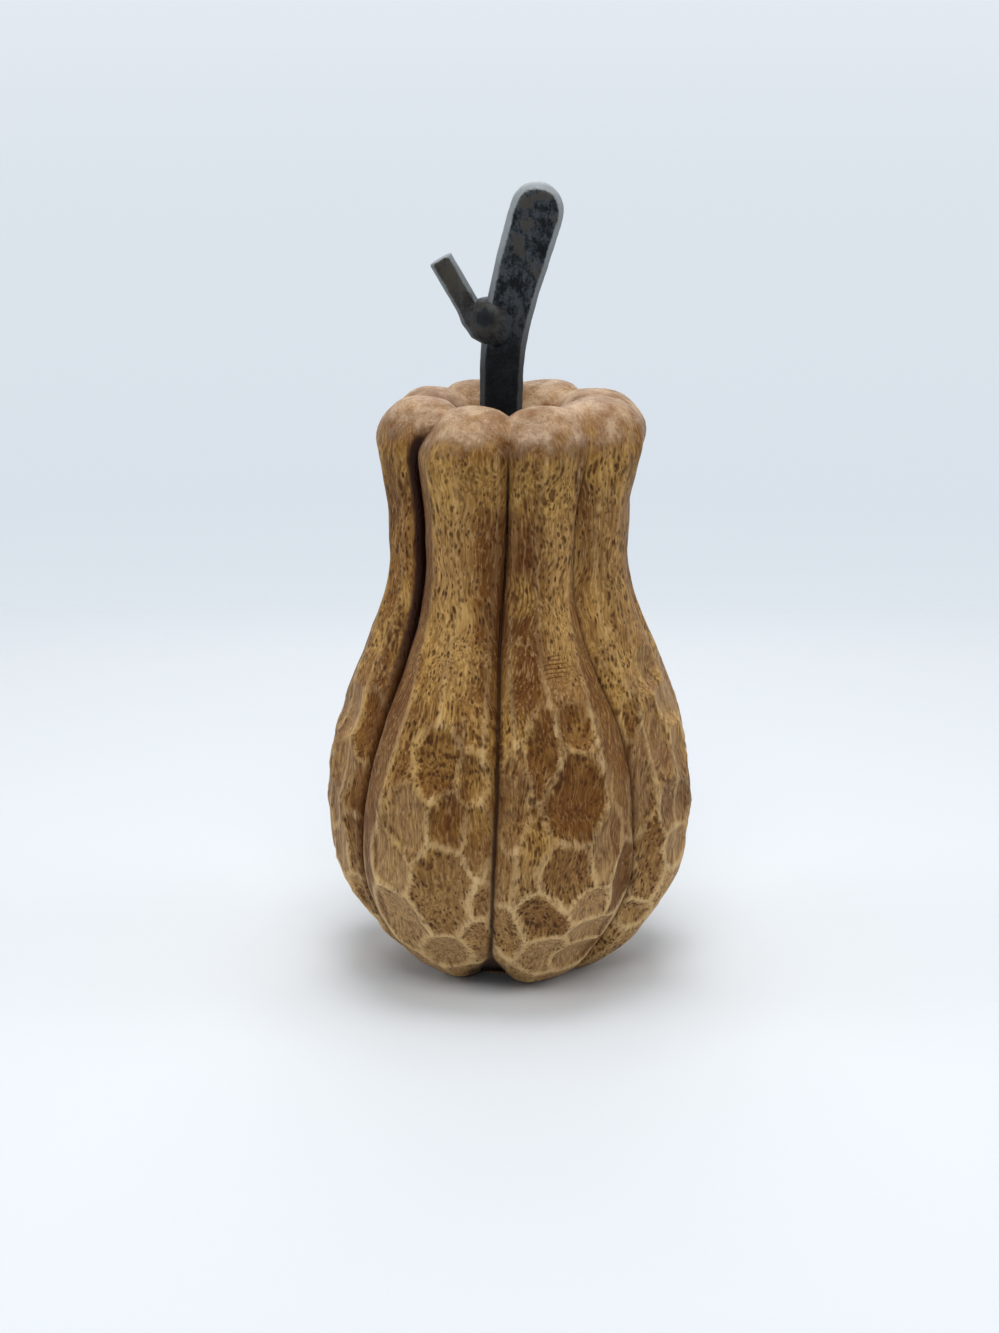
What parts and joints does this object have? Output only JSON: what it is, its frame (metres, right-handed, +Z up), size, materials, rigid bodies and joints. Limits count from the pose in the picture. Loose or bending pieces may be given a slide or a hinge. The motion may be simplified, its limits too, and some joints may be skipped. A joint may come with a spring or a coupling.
{
  "type": "carved gourd",
  "caption": "Carved wooden gourd ornament with scooped lobes, a narrow neck and a dark forked metal stem, standing on a flat felted base.",
  "frame": {"origin": "centre of the felt's lower face, on the plane that the ornament stands on", "axes": "+Z up, -Y towards the front, +X to the right seen from the front"},
  "size_m": [0.1125, 0.1097, 0.2397],
  "materials": {
    "carved_wood": "open-pored hardwood, gouged, stained brown and rubbed back pale on the ridges, waxed",
    "dark_iron": "blackened iron, mottled, with bevels worn to grey",
    "stud_steel": "plain bright steel, hidden",
    "felt": "pressed dark brown felt"
  },
  "bodies": {
    "root": {"gourd_body": "carved_wood", "base_felt": "felt", "stem": "dark_iron", "side_twig": "dark_iron", "joint_bead": "dark_iron", "stem_stud": "stud_steel"}
  },
  "joints": []
}
